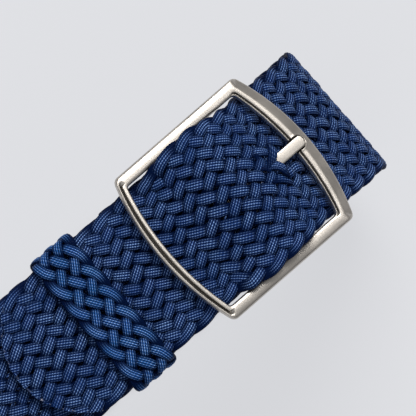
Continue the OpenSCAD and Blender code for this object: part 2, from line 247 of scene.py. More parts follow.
class StageSizes(bpy.types.PropertyGroup):
    """The camera and the floor"""

    view: length(54.75, "View", "Width of the picture, at the height of the tail")
    middle_x: length(17.07, "Middle, forward", "Where the picture's middle lies, towards the front")
    middle_y: length(1.33, "Middle, sideways", "Where the picture's middle lies, to the side")
    distance: length(2000, "Distance", "Height of the camera above the tail")
    turn: angle(-41, "Turn", "Turn of the camera")
    floor_half: length(3000, "Floor", "Half of the floor's width")
    floor_drop: length(0.1, "Floor drop", "How far the cords bulge below the band's plain underside")


class StrapColours(bpy.types.PropertyGroup):
    """Colours of the strap and the stage"""

    nylon: colour((0.004, 0.031, 0.165), "Nylon", "Colour of the braid")
    # Painted shade: this colour goes between the yarns, deep inside the braid and at the cords' sides.
    nylon_painted_shade: colour((0.0012, 0.006, 0.032), "Dark nylon", "Colour between the yarns")
    # Painted highlight: this colour is painted as glints on the yarns' beads and crowns.
    nylon_painted_glint: colour((0.32, 0.52, 0.9), "Light nylon", "Colour of the yarns' raised beads")
    melted: colour((0.006, 0.02, 0.075), "Melted nylon", "Colour of melted edges")
    speck: colour((0.3, 0.31, 0.4), "Specks", "Colour of the pale specks on melted edges")
    thread: colour((0.012, 0.03, 0.1), "Thread", "Colour of the sewing thread")
    satin: colour((0.535, 0.5, 0.455), "Satin steel", "Colour of the buckle")
    bright: colour((0.72, 0.7, 0.67), "Bright steel", "Colour of the bar")
    floor: colour((0.74, 0.76, 0.79), "Floor", "Colour of the floor")
    backdrop: colour((0.747, 0.754, 0.785), "Backdrop", "Colour of the plain background")
    sky_low: colour((0.13, 0.124, 0.117), "Low sky", "Colour of the light from the horizon")
    sky_high: colour((0.97, 0.98, 1.0), "High sky", "Colour of the light from above")


# Meshes


def mesh_from(bm, name):
    mesh = bpy.data.meshes.new(name)
    bm.to_mesh(mesh)
    bm.free()
    return mesh


def add_object(name, mesh, surface):
    obj = bpy.data.objects.new(name, mesh)
    bpy.context.scene.collection.objects.link(obj)
    mesh.materials.append(surface)
    mesh.shade_smooth()
    return obj


def add_piece(name, mesh, finish, node, body=None):
    """Adds a piece that takes a packed solid's place. With a body, the whole piece moves with it."""
    obj = add_object(name, mesh, material(finish))
    if body:
        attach(obj, body)
    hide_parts(node)
    return obj


def cut_off(bm, point, out):
    """Cuts off what lies beyond a plane, and closes the cut."""
    cut = bmesh.ops.bisect_plane(
        bm, geom=bm.verts[:] + bm.edges[:] + bm.faces[:], plane_co=point, plane_no=out, clear_outer=True
    )
    edges = [g for g in cut["geom_cut"] if isinstance(g, bmesh.types.BMEdge)]
    bmesh.ops.holes_fill(bm, edges=edges, sides=0)


def tube_template(rings, around, closed=False):
    """A tube of unit radius, capped, or a closed ring. Returns the mesh, and each vertex's ring and step."""
    last = rings if closed else rings - 1
    bm = bmesh.new()
    bm.loops.layers.uv.new("UVMap")
    bmesh.ops.create_grid(bm, x_segments=last, y_segments=around, size=1, calc_uvs=True)
    for v in bm.verts:
        ring = (v.co.x + 1) / 2 * last
        turn = (v.co.y + 1) * math.pi
        if closed:
            swing = ring / rings * FULL_TURN
            r = rings + math.cos(turn)
            v.co = (r * math.cos(swing), r * math.sin(swing), math.sin(turn))
        else:
            v.co = (ring, math.cos(turn), math.sin(turn))
    bmesh.ops.remove_doubles(bm, verts=bm.verts, dist=1e-3)
    if not closed:
        bmesh.ops.holes_fill(bm, edges=[e for e in bm.edges if e.is_boundary], sides=0)
    bmesh.ops.recalc_face_normals(bm, faces=bm.faces)
    mesh = mesh_from(bm, "template")
    co = np.empty(len(mesh.vertices) * 3)
    mesh.vertices.foreach_get("co", co)
    x, y, z = co.reshape(-1, 3).T
    if closed:
        ring = np.rint(np.arctan2(y, x) / FULL_TURN * rings).astype(int) % rings
        turn = np.arctan2(z, np.hypot(x, y) - rings)
    else:
        ring = np.rint(x).astype(int)
        turn = np.arctan2(z, y)
    step = np.rint(turn / FULL_TURN * around).astype(int) % around
    return mesh, ring, step


def tubes(name, runs, closed=False):
    """One mesh of many tubes. Each run is rings by steps of points, a texture length, and any depths."""
    templates = {}
    bm = bmesh.new()
    bm.loops.layers.uv.new("UVMap")
    places, spans, depths = [], [], []
    for points, span, *depth in runs:
        key = points.shape[:2]
        if key not in templates:
            templates[key] = tube_template(*key, closed)
        mesh, ring, step = templates[key]
        bm.from_mesh(mesh)
        places.append(points[ring, step])
        spans.append(np.full(len(mesh.loops), span))
        depths += [d[ring, step] for d in depth]
    mesh = mesh_from(bm, name)
    mesh.vertices.foreach_set("co", np.concatenate(places).astype(np.float32).ravel())
    uv = np.empty(len(mesh.loops) * 2, np.float32)
    mesh.uv_layers[0].uv.foreach_get("vector", uv)
    uv[::2] *= np.concatenate(spans)
    mesh.uv_layers[0].uv.foreach_set("vector", uv)
    # The depths go to the materials, which paint shade where they are low.
    if depths:
        shade = mesh.attributes.new("depth", "FLOAT", "POINT")
        shade.data.foreach_set("value", np.concatenate(depths).astype(np.float32))
    mesh.update()
    for template in templates.values():
        bpy.data.meshes.remove(template[0])
    return mesh


def unit(v):
    return v / np.linalg.norm(v, axis=-1, keepdims=True)


def swept(centre, tangent, normal, u, v):
    """Rings of points round a line: u across it and v along its own normal, each rings by steps."""
    side = unit(np.cross(normal, tangent))
    up = unit(np.cross(tangent, side))
    return centre[:, None, :] + u[..., None] * side[:, None, :] + v[..., None] * up[:, None, :]


def ring_of(steps, power=1.0):
    """Points of a unit circle, or with a power below 1 of a rounded square: across and up."""
    a = np.arange(steps) / steps * FULL_TURN
    return [np.sign(f) * np.abs(f) ** power for f in (np.cos(a), np.sin(a))]


def fade(x, half):
    """1 at 0, falling smoothly to 0 at half and beyond."""
    return np.where(np.abs(x) < half, 0.5 + 0.5 * np.cos(np.clip(x / half, -1, 1) * math.pi), 0.0)


def plateau(x, sizes):
    """1 within the first size of 0, falling smoothly to 0 over the second."""
    return fade(np.maximum(np.abs(x) - sizes[0], 0), sizes[1])


def hill(x, reach):
    """1 at 0, falling off to a third at the reach, and never quite 0."""
    return np.exp(-((x / reach) ** 2))


def mound(along, across, reach):
    return hill(along, reach[0]) * hill(across, reach[1])


def at_least(x, limit, soft):
    """The larger of x and the limit, with a soft bend between the two."""
    return (x + limit + np.sqrt((x - limit) ** 2 + soft**2)) / 2


# The band's course


def arc(radius, turn):
    """A round stretch: its length, and how far it turns."""
    return (abs(turn) * radius, turn)


def side_step(run, rise):
    """Two round stretches that shift the course to one side and leave its heading as it was."""
    turn = 2 * math.atan(abs(rise) / run)
    radius = run / (2 * math.sin(turn))
    way = math.copysign(1, rise)
    return [arc(radius, way * turn), arc(radius, -way * turn)]


# Longest step along a course, where no number of steps is given.
LONGEST_STEP = 0.05 * MM


def walk(row, stretches, steps=None):
    """Follows straight and round stretches from a row of distance, place and heading, and returns rows."""
    rows = []
    for span, turn in stretches:
        s, x, z, heading = row
        parts = steps or max(2, int(span / LONGEST_STEP))
        for t in np.linspace(0, 1, parts + 1)[1:]:
            h = heading + turn * t
            if turn:
                r = span / turn
                px = x + r * (math.sin(h) - math.sin(heading))
                pz = z - r * (math.cos(h) - math.cos(heading))
            else:
                px = x + span * t * math.cos(heading)
                pz = z + span * t * math.sin(heading)
            rows.append((s + span * t, px, pz, h))
        row = rows[-1]
    return rows


class Course:
    """The band's middle line: place and heading at any distance along it."""

    def __init__(self):
        band = bpy.context.scene.strap_band
        low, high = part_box("bar_tube")
        self.bar = Vector(((low[0] + high[0]) / 2, 0, (low[2] + high[2]) / 2))
        # Heights of the layers' middles: the tail, the layer under it, the doubled end, and the layer
        # over the bar.
        layer = band.thickness + band.layer_gap
        tail_z = band.loop_height - band.thickness / 2
        under_z = tail_z - layer
        fold_z = under_z - band.thickness - band.sewn_gap
        over_z = self.bar.z + band.wrap_radius + layer
        # Radii of the middle line at the loop's turns.
        rear = (under_z - band.thickness / 2) / 2
        hump = band.hump_radius - band.thickness / 2
        front = band.front_radius - band.thickness / 2
        low_turn = band.low_radius - band.thickness / 2
        # The straight dive from the bar joins the hump and the front turn.
        front_x = band.front_reach - band.thickness / 2
        left = math.pi / 2 - band.dive_angle
        dive_x = (front_x - front) + (front - hump) * math.cos(left)
        dive = dive_x / math.cos(band.dive_angle)
        centre_z = over_z - hump + (hump - front) * math.sin(left) - dive * math.sin(band.dive_angle)
        upright = centre_z - band.low_radius
        base = band.rear_run + front_x - low_turn
        stretches = {
            "fold": [
                (band.fold_reach - band.rise_run, 0),
                *side_step(band.rise_run, self.bar.z - band.wrap_radius - fold_z),
                arc(band.wrap_radius, math.pi),
                *side_step(band.rise_run, self.bar.z + band.wrap_radius - under_z),
            ],
            "under": [(band.rear_run - band.rise_run, 0)],
            "loop": [
                arc(rear, math.pi), (base, 0), arc(low_turn, math.pi / 2), (upright, 0), arc(front, left),
            ],
            "over": [
                (dive, 0),
                arc(hump, band.dive_angle),
                *side_step(band.rise_run, over_z - tail_z),
                (band.hinge_reach - band.rise_run, 0),
            ],
            "tail": [(band.tail_reach - band.hinge_reach, 0)],
        }
        rows = [(0.0, self.bar.x - band.fold_reach, fold_z, 0.0)]
        self.start = {}
        for name, way in stretches.items():
            self.start[name] = rows[-1][0]
            rows += walk(rows[-1], way)
        self.start["end"] = rows[-1][0]
        self.rows = np.array(rows).T
        self.top = self.start["over"] + dive + hump * band.dive_angle

    def at(self, s):
        return [np.interp(s, self.rows[0], self.rows[i]) for i in (1, 2, 3)]

    def over_at(self, reach):
        """Distance along the band where its upper layer is that far in front of the bar."""
        upper = self.rows[:, self.rows[0] >= self.start["over"]]
        return float(np.interp(-(self.bar.x + reach), -upper[1], upper[0]))


# The braid

# Where the columns of cells stand over the buckle, in mm in front of the bar. The cells are shorter
# where the braid is pushed together over the bar, and longer where it is drawn down in front of it.
COLUMNS = (-10.3, -6.6, -2.5, 1.2, 3.8, 5.9, 8.2, 10.5, 12.8, 15)
TONGUE_COLUMN = 5

# Half the band's width over the buckle, in mm: how far in front of the bar, and the half width there.
HALF_WIDTHS = (
    (-17, 9.95), (-11, 9.95), (-7.2, 9.8), (-6.2, 10.05), (-5, 10.6), (-2.3, 10.9), (0.5, 10.85), (3, 10.5),
    (5, 10.05), (6.5, 9.87), (10, 9.85), (12, 9.8),
)
# Over these distances the width goes back to the plain one, in mm before and behind those places.
WIDTH_ENDS = (8, 4)

# How far a cord strays across the band, along it and up, as shares of its wander.
STRAY = (1, 0.5, 0.3)
# Slow waves over the lattice: how fast they run across the rows and along the units, and their start.
SWAY_ALONG = (6.2, 0.21, 1.1)
SWAY_ACROSS = (2.3, 0.34, 0)
# Share of the sway along the band that is left at the tongue's hole.
LEAST_SWAY = 0.1

# Units of the lattice that are worked out, and the steps of a unit.
FIRST_UNIT, LAST_UNIT, UNIT_STEP = -40, 400, 0.25
# Steps to each side over which the change from short cells to long ones is softened.
SOFT_STEPS = 8

# Share of a third, faster wave that flattens a cord's highs and lows.
FLATTEN = 0.12
# Rows over which a cord turns back at the edge, and rows from the edge where no cord leans yet.
EDGE_ROWS = 1.2
EVEN_ROWS = 0.8
# How full a cord's section is: 2 is an ellipse, and more is nearer to a rectangle.
FULLNESS = 2.3
# Below 1, the yarns at a cord's sides are narrower than those in its middle.
YARN_SPREAD = 0.92
# Width of a cord between its crossings and at them, as shares of its plain width.
CROSSING_WIDTHS = (0.97, 1.02)
# Least and most width of a cord where the lattice is narrow or open, as shares too.
SPREAD = (0.97, 1.04)


def slow_wave(shape, row, n):
    across, along, start = shape
    return np.sin(across * row + along * n + start)


class Braid:
    """The lattice of the band: where each cord runs."""

    def __init__(self, course):
        scene = bpy.context.scene
        self.course = course
        self.band, self.sizes, self.hole = scene.strap_band, scene.strap_braid, scene.strap_hole
        self.buckle, self.tongue = scene.strap_buckle, scene.strap_tongue
        self.unit = self.sizes.pitch / 2
        columns = np.array([course.over_at(x * MM) for x in reversed(COLUMNS)])
        tongue = len(COLUMNS) - 1 - TONGUE_COLUMN
        self.pierce = (columns[tongue] + columns[tongue - 1]) / 2
        # A crossing on the middle row lies just behind where the tongue comes out of the braid.
        first = 2 * round(columns[tongue] / self.unit / 2)
        marks = first + 2.0 * (np.arange(len(COLUMNS)) - tongue)
        self.fine, self.span = self.lattice(marks, columns)
        plain = self.sizes.width / 2
        spots = [(course.over_at(x * MM), half * MM) for x, half in reversed(HALF_WIDTHS)]
        before, behind = spots[0][0] - WIDTH_ENDS[0] * MM, spots[-1][0] + WIDTH_ENDS[1] * MM
        self.width_s, self.width_y = np.array([(before, plain), *spots, (behind, plain)]).T
        rng = np.random.default_rng(11)
        self.phase = rng.uniform(0, FULL_TURN, (self.sizes.strands, 3))
        self.rate = rng.uniform(0.5, 1.1, (self.sizes.strands, 3))

    def lattice(self, marks, columns):
        """Units, and the distance along the band of each: as listed over the buckle and even elsewhere."""
        fine = np.arange(FIRST_UNIT, LAST_UNIT, UNIT_STEP)
        span = np.interp(fine, marks, columns)
        # The loop's cells are a little longer, so that the holes of the two layers don't meet.
        before = columns[0] + (fine - marks[0]) * self.unit * self.sizes.loop_stretch
        behind = columns[-1] + (fine - marks[-1]) * self.unit
        span = np.where(fine < marks[0], before, span)
        span = np.where(fine > marks[-1], behind, span)
        soft = hill(np.arange(-SOFT_STEPS, SOFT_STEPS + 1), SOFT_STEPS / 2)
        return fine[SOFT_STEPS:-SOFT_STEPS], np.convolve(span, soft / soft.sum(), "valid")

    def along(self, n):
        return np.interp(n, self.fine, self.span)

    def unit_at(self, s):
        return round(float(np.interp(s, self.span, self.fine)) * RINGS_PER_UNIT) / RINGS_PER_UNIT

    def lattice_width(self, s):
        return 2 * np.interp(s, self.width_s, self.width_y)

    def place(self, n, k):
        """Middle of cord k at each n: its position, the band's normal, its height, and how far its painted
        shade is lifted.
        """
        sizes, hole = self.sizes, self.hole
        # Towards the tail the cords of the other direction lie higher.
        lean = sizes.lean * np.interp(self.along(n) - self.course.top, sizes.lean_change, (1, -1))
        d, height = track(n, k, sizes.strands, lean)
        row = d / sizes.strands - 0.5
        across, along, up = (
            part * sizes.wander * np.sin(rate * n + phase)
            for part, rate, phase in zip(STRAY, self.rate[k], self.phase[k])
        )
        # The whole lattice is a little uneven, though hardly at the hole.
        s = self.along(n) + along
        calm = np.clip(np.abs(s - self.pierce) / sizes.calm, LEAST_SWAY, 1)
        s = s + sizes.sway[0] * slow_wave(SWAY_ALONG, row, n) * calm
        y = (row + sizes.middle_spread * np.sin(FULL_TURN * row)) * self.lattice_width(s) + across
        y = y + sizes.sway[1] * np.cos(math.pi * row) * slow_wave(SWAY_ACROSS, row, n)
        # The cords part round the tongue, and those just behind it are shoved aside.
        past = s - self.pierce
        y = y + hole.part * mound(past, y, hole.part_reach) * np.tanh(y / hole.part_edge)
        y = y - hole.shove * mound(past - hole.shove_behind, y, hole.shove_reach)
        # Near the hole the painted shade on the cords is lifted.
        shade_lift = hole.shade_lift * mound(past, y, hole.shade_lift_reach)
        x, z, h = self.course.at(s)
        lift = sizes.wave * height + self.arch(s - self.course.top, y) + up
        normal = np.stack([np.sin(h), np.zeros_like(h), -np.cos(h)], -1)
        centre = np.stack([x, y, z], -1) + normal * lift[:, None]
        return self.beside_tongue(centre, past), normal, height, shade_lift

    def arch(self, reach, y):
        """How far the band's middle arches out under the front bar, and its edges by the side bars."""
        band = self.band
        middle = 1 - np.clip(np.abs(y) / band.bulge_size[1], 0, 1) ** 2
        edge = np.clip((np.abs(y) - band.edge_from) / band.edge_width, 0, 1) ** 2
        bulge = band.bulge * middle * fade(reach + band.bulge_ahead, band.bulge_size[0])
        return bulge + band.edge_lift * edge * fade(reach - band.edge_behind, band.edge_length)

    def beside_tongue(self, centre, past):
        """Cords behind the hole run over the tongue, and cords in front of it run under."""
        tongue, hole, tilt = self.tongue, self.hole, self.buckle.tilt
        away = centre - np.array(self.course.bar)
        out = away[:, 0] * math.cos(tilt) - away[:, 2] * math.sin(tilt)
        up = away[:, 0] * math.sin(tilt) + away[:, 2] * math.cos(tilt)
        # Heights are measured from the tongue's middle, which slopes from its roll to its tip.
        first, last = tongue.roll + tongue.thickness / 2, tongue.tip_low + tongue.thickness / 2
        above = up - (first + (last - first) * out / tongue.reach)
        rise = hole.ride_up * mound(past, centre[:, 1], hole.ride_reach)
        above = above + rise
        # Above it is room for its lift, and below it for the buckle's rock.
        room = (tongue.thickness + self.sizes.strand_thickness) / 2 + hole.clearance
        arm = np.clip(out, 0, tongue.reach)
        over = at_least(above, room + arm * math.tan(tongue.lift), hole.settle)
        under = -at_least(-above, room + arm * math.tan(self.buckle.rock), hole.settle)
        side = np.clip(0.5 + past / hole.swap, 0, 1)
        side = side * side * (3 - 2 * side)
        near = plateau(centre[:, 1], hole.beside) * plateau(past, hole.along)
        near = near * (out > 0) * (out < tongue.reach + hole.past_tip)
        shift = rise + (side * over + (1 - side) * under - above) * near
        return centre + shift[:, None] * np.array([math.sin(tilt), 0, math.cos(tilt)])

    def strand(self, n, k):
        """Rings of points of cord k, and how far each lies from deep inside the braid, raised near the hole
        so that less shade is painted there.
        """
        centre, normal, height, shade_lift = self.place(n, k)
        # A cord spreads where the lattice is open and stays narrow where it is pushed together.
        cell = self.along(n + 1) - self.along(n - 1)
        row = self.lattice_width(self.along(n)) / self.sizes.strands
        spacing = cell * row / np.hypot(cell / 2, row)
        width = self.sizes.strand_width * np.clip(spacing / self.sizes.strand_spacing, *SPREAD)
        u, v = cord_section(self.sizes, height, width[:, None])
        depth = depth_of(self.sizes, height, v)
        points = swept(centre, direction(self.place, n, k), normal, u, v)
        return points, depth + (1 - depth) * shade_lift[:, None]


def direction(place, n, k):
    return unit(place(n + NUDGE, k)[0] - place(n - NUDGE, k)[0])


def track(n, k, strands, lean):
    """Row position of cord k, and its height from -1 to 1, in a plain flat braid."""
    t = np.mod(n - 2 * k, 2 * strands)
    going_up = t < strands
    d = np.where(going_up, t, 2 * strands - t)
    to_edge = np.minimum(d, strands - d)
    wave = (np.cos(math.pi * d) - FLATTEN * np.cos(3 * math.pi * d)) / (1 - FLATTEN)
    # Inside the braid, the cords that go up lie higher than the others by the lean.
    wave = wave + lean * np.clip(to_edge - EVEN_ROWS, 0, 1)
    height = np.where(going_up, wave, -wave)
    # At an edge a cord turns over from one face to the other.
    low, high = np.where(t > strands, t - 2 * strands, t), t - strands
    height = np.where(np.abs(low) < 1, -np.sin(low * math.pi / 2), height)
    height = np.where(np.abs(high) < 1, np.sin(high * math.pi / 2), height)
    rounded = np.where(to_edge < EDGE_ROWS, to_edge**2 / (2 * EDGE_ROWS) + EDGE_ROWS / 2, to_edge)
    return np.where(d < strands / 2, rounded, strands - rounded), height


def cord_section(sizes, height, width):
    """Outline of a flat cord of several yarns, for each ring: across and up."""
    face = 2 * sizes.yarns
    step = np.arange(2 * face)
    upper = step <= face
    across = np.where(upper, 1 - step * 2 / face, (step - face) * 2 / face - 1)
    rise = (1 - np.abs(across) ** FULLNESS) ** 0.5 * sizes.strand_thickness / 2
    # Every second point lies between two yarns, apart from the two at the cord's sides.
    groove = np.where((step % 2 == 0) & (step % face != 0), sizes.groove, 0)
    v = np.where(upper, 1, -1) * (rise - groove)
    u = np.sign(across) * np.abs(across) ** YARN_SPREAD / 2
    between, crossing = CROSSING_WIDTHS
    width = width * (between + (crossing - between) * height**2)[:, None]
    return u[None, :] * width, np.repeat(v[None, :], len(height), 0)


def depth_of(sizes, height, v):
    """How far each point lies from the middle of the braid: 0 deep inside it, 1 on either face."""
    away = np.abs(sizes.wave * height[:, None] + v) / (sizes.wave + sizes.strand_thickness / 2)
    return np.clip(away, 0, 1)


def braid_runs(braid, n0, n1, keep=None):
    """Every cord from n0 to n1, cut where keep says that it is left out."""
    n = np.arange(round(n0 * RINGS_PER_UNIT), round(n1 * RINGS_PER_UNIT) + 1) / RINGS_PER_UNIT
    runs = []
    for k in range(braid.sizes.strands):
        points, depth = braid.strand(n, k)
        shown = np.ones(len(n), bool) if keep is None else keep(points.mean(1))
        ends = np.flatnonzero(np.diff(np.concatenate([[0], shown.astype(int), [0]])))
        for a, b in zip(ends[::2], ends[1::2]):
            if b - a > 2:
                spans = np.linalg.norm(np.diff(points[a:b].mean(1), axis=0), axis=1)
                runs.append((points[a:b], spans.sum() / MM, depth[a:b]))
    return runs


# Materials

# Length of one bead of a yarn, in mm, and its shift at each half yarn, as a share of that length.
BEAD_LENGTH = 0.34
BEAD_SHIFT = 0.12
# The keeper's nylon is lighter and greener than the band's.
KEEPER_TINT = (2.0, 3.0, 2.1)


class Nodes:
    """Short ways to build a node tree."""

    def __init__(self, tree):
        self.tree = tree

    def add(self, kind, inputs=None, **settings):
        node = self.tree.nodes.new(kind)
        for key, value in settings.items():
            setattr(node, key, value)
        for key, value in (inputs or {}).items():
            node.inputs[key].default_value = value
        return node

    def link(self, a, b):
        self.tree.links.new(a, b)

    def math(self, operation, a, b=None, c=None, clamp=False):
        node = self.add("ShaderNodeMath", operation=operation, use_clamp=clamp)
        for socket, value in zip(node.inputs, (a, b, c)):
            if isinstance(value, bpy.types.NodeSocket):
                self.link(value, socket)
            elif value is not None:
                socket.default_value = value
        return node.outputs[0]

    def mix(self, factor, a, b):
        node = self.add("ShaderNodeMix", data_type="RGBA")
        self.link(factor, node.inputs[0])
        for socket, value in zip((node.inputs[6], node.inputs[7]), (a, b)):
            if isinstance(value, bpy.types.NodeSocket):
                self.link(value, socket)
            else:
                socket.default_value = (*value, 1)
        return node.outputs[2]

    def noise(self, scale, detail=2, place=None):
        """Noise in the piece's own coordinates, or in the ones that are given."""
        node = self.add("ShaderNodeTexNoise", {"Scale": scale, "Detail": detail})
        self.link(place or self.add("ShaderNodeTexCoord").outputs["Object"], node.inputs["Vector"])
        return node.outputs[0]

    def spread(self, value, low, high, way="LINEAR"):
        """The value, spread so that low becomes 0 and high becomes 1."""
        node = self.add("ShaderNodeMapRange", {"From Min": low, "From Max": high}, interpolation_type=way)
        self.link(value, node.inputs["Value"])
        return node.outputs[0]

    def split(self, vector):
        node = self.add("ShaderNodeSeparateXYZ")
        self.link(vector, node.inputs[0])
        return node.outputs

    def depth(self):
        return self.add("ShaderNodeAttribute", attribute_name="depth").outputs["Fac"]

    def relief(self, shader, height, strength, mm):
        node = self.add("ShaderNodeBump", {"Strength": strength, "Distance": mm * MM})
        self.link(height, node.inputs["Height"])
        self.link(node.outputs[0], shader.inputs["Normal"])


def new_material(name, base, roughness, metallic=0.0):
    made = bpy.data.materials.new(name)
    made.use_nodes = True
    made.diffuse_color = (*base, 1)
    shader = made.node_tree.nodes["Principled BSDF"]
    shader.inputs["Base Color"].default_value = (*base, 1)
    shader.inputs["Roughness"].default_value = roughness
    shader.inputs["Metallic"].default_value = metallic
    return made, Nodes(made.node_tree), shader


def yarn_group():
    """Masks of the yarns in a cord, from its texture coordinates: length in mm and place round it, and from
    the depth attribute a share of light, low where shade is painted.
    """
    group = bpy.data.node_groups.new("Yarn", "ShaderNodeTree")
    for label in ("Crown", "Bead", "Height", "PaintedLight"):
        group.interface.new_socket(name=label, in_out="OUTPUT", socket_type="NodeSocketFloat")
    n = Nodes(group)
    out = n.add("NodeGroupOutput")
    along, turn, _ = n.split(n.add("ShaderNodeUVMap").outputs[0])
    # The crown is the middle of each yarn, and the beads are its twisted threads.
    steps = n.math("MULTIPLY", turn, 4 * bpy.context.scene.strap_braid.yarns)
    crown = n.math("MULTIPLY_ADD", n.math("COSINE", n.math("MULTIPLY", steps, math.pi)), -0.5, 0.5)
    slant = n.math("MULTIPLY_ADD", steps, BEAD_SHIFT, n.math("MULTIPLY", along, 1 / BEAD_LENGTH))
    twist = n.math("SINE", n.math("MULTIPLY", slant, FULL_TURN))
    bead = n.math("MULTIPLY", n.math("MULTIPLY_ADD", twist, 0.5, 0.5), crown)
    # Painted shade: a cord is darkened deep inside the braid, and more towards its two sides.
    lit = n.spread(n.depth(), low=0.2, high=0.95, way="SMOOTHSTEP")
    side = n.math("COSINE", n.math("MULTIPLY", turn, FULL_TURN))
    shade = n.math("MULTIPLY_ADD", n.math("POWER", n.math("MULTIPLY", side, side), 1.5), -0.8, 1)
    n.link(crown, out.inputs["Crown"])
    n.link(bead, out.inputs["Bead"])
    n.link(n.math("MULTIPLY_ADD", crown, 0.4, n.math("MULTIPLY", bead, 0.6)), out.inputs["Height"])
    n.link(n.math("MULTIPLY", lit, shade), out.inputs["PaintedLight"])
    return group


def nylon_material(name, tint):
    """Braided nylon: painted shade between its yarns, with a painted glint on each raised bead."""
    colours = bpy.context.scene.strap_colours
    base = np.array(colours.nylon) * tint
    made, n, shader = new_material(name, base, roughness=0.42)
    shader.inputs["Specular IOR Level"].default_value = 0.015
    group = bpy.data.node_groups.get("Yarn") or yarn_group()
    masks = n.add("ShaderNodeGroup", node_tree=group).outputs
    # The dye is a little uneven, between a greener and a more violet blue.
    dyed = n.mix(n.noise(scale=420), base * (0.5, 1.15, 0.95), base * (1.5, 0.8, 1.05))
    # Painted shade in the grooves between the yarns, and where the share of light is low.
    ridge = n.math("MULTIPLY_ADD", n.math("POWER", masks["Crown"], 1.6), 0.85, 0.15)
    dark = n.mix(n.math("MULTIPLY", ridge, masks["PaintedLight"]), colours.nylon_painted_shade, dyed)
    # Painted highlights: glints on the beads and yarn crowns, none where the painted shade is full.
    beads = n.math("MULTIPLY", n.math("POWER", masks["Bead"], 2.6), 0.84)
    glint = n.math("MULTIPLY_ADD", n.math("POWER", masks["Crown"], 3.0), 0.16, beads)
    glint = n.math("MULTIPLY", glint, n.math("MULTIPLY_ADD", n.noise(scale=330, detail=3), 1.9, -0.2))
    glint = n.math("MULTIPLY", glint, masks["PaintedLight"], clamp=True)
    n.link(n.mix(glint, dark, colours.nylon_painted_glint), shader.inputs["Base Color"])
    n.relief(shader, masks["Height"], strength=0.7, mm=0.06)
    return made


def satin_material(name, base, roughness):
    """Satin steel, brushed along the texture's length, with painted shade where the depth attribute is low.
    """
    made, n, shader = new_material(name, base, roughness, metallic=1.0)
    base = np.array(base)
    brushed = n.add("ShaderNodeMapping", {"Scale": (0.9, 70, 1)})
    n.link(n.add("ShaderNodeUVMap").outputs[0], brushed.inputs[0])
    streaks = n.noise(scale=1, detail=3, place=brushed.outputs[0])
    cloud = n.noise(scale=230, detail=1)
    shade = n.math("MULTIPLY_ADD", streaks, 0.2, n.math("MULTIPLY", cloud, 0.8))
    grained = n.mix(n.spread(shade, low=0.35, high=0.65), base * 0.88, base * 1.1)
    # Painted shade: groove bottoms and the line inside the notch are darkened to a tenth of the colour.
    n.link(n.mix(n.depth(), base * 0.1, grained), shader.inputs["Base Color"])
    n.link(n.math("MULTIPLY_ADD", shade, 0.3, roughness - 0.15), shader.inputs["Roughness"])
    n.relief(shader, cloud, strength=0.35, mm=0.16)
    return made


def bright_material(name, base, roughness):
    """Plain bright steel for pieces without texture coordinates."""
    made, n, shader = new_material(name, base, roughness, metallic=1.0)
    worn = n.math("MULTIPLY_ADD", n.noise(scale=3000), 0.18, roughness - 0.09)
    n.link(worn, shader.inputs["Roughness"])
    return made


def thread_material(name, base):
    made, n, shader = new_material(name, base, roughness=0.5)
    base = np.array(base)
    grain = n.noise(scale=3000)
    n.link(n.mix(grain, base * 0.7, base * 1.3), shader.inputs["Base Color"])
    n.relief(shader, grain, strength=0.4, mm=0.05)
    return made


def melted_material(name, base, speck):
    """Melted nylon: dark and glossy, with pale specks."""
    made, n, shader = new_material(name, base, roughness=0.35)
    lumps = n.noise(scale=1300, detail=3)
    specks = n.spread(lumps, low=0.56, high=0.66)
    n.link(n.mix(specks, base, speck), shader.inputs["Base Color"])
    n.relief(shader, lumps, strength=0.6, mm=0.1)
    return made


def material(name):
    """The named material, made the first time it is asked for."""
    made = bpy.data.materials.get(name)
    if made:
        return made
    colours = bpy.context.scene.strap_colours
    if name == "Nylon braid":
        return nylon_material(name, (1, 1, 1))
    if name == "Nylon keeper":
        return nylon_material(name, KEEPER_TINT)
    if name == "Melted nylon":
        return melted_material(name, colours.melted, colours.speck)
    if name == "Thread":
        return thread_material(name, colours.thread)
    if name == "Satin steel":
        return satin_material(name, colours.satin, roughness=0.42)
    return bright_material(name, colours.bright, roughness=0.25)


# Pieces


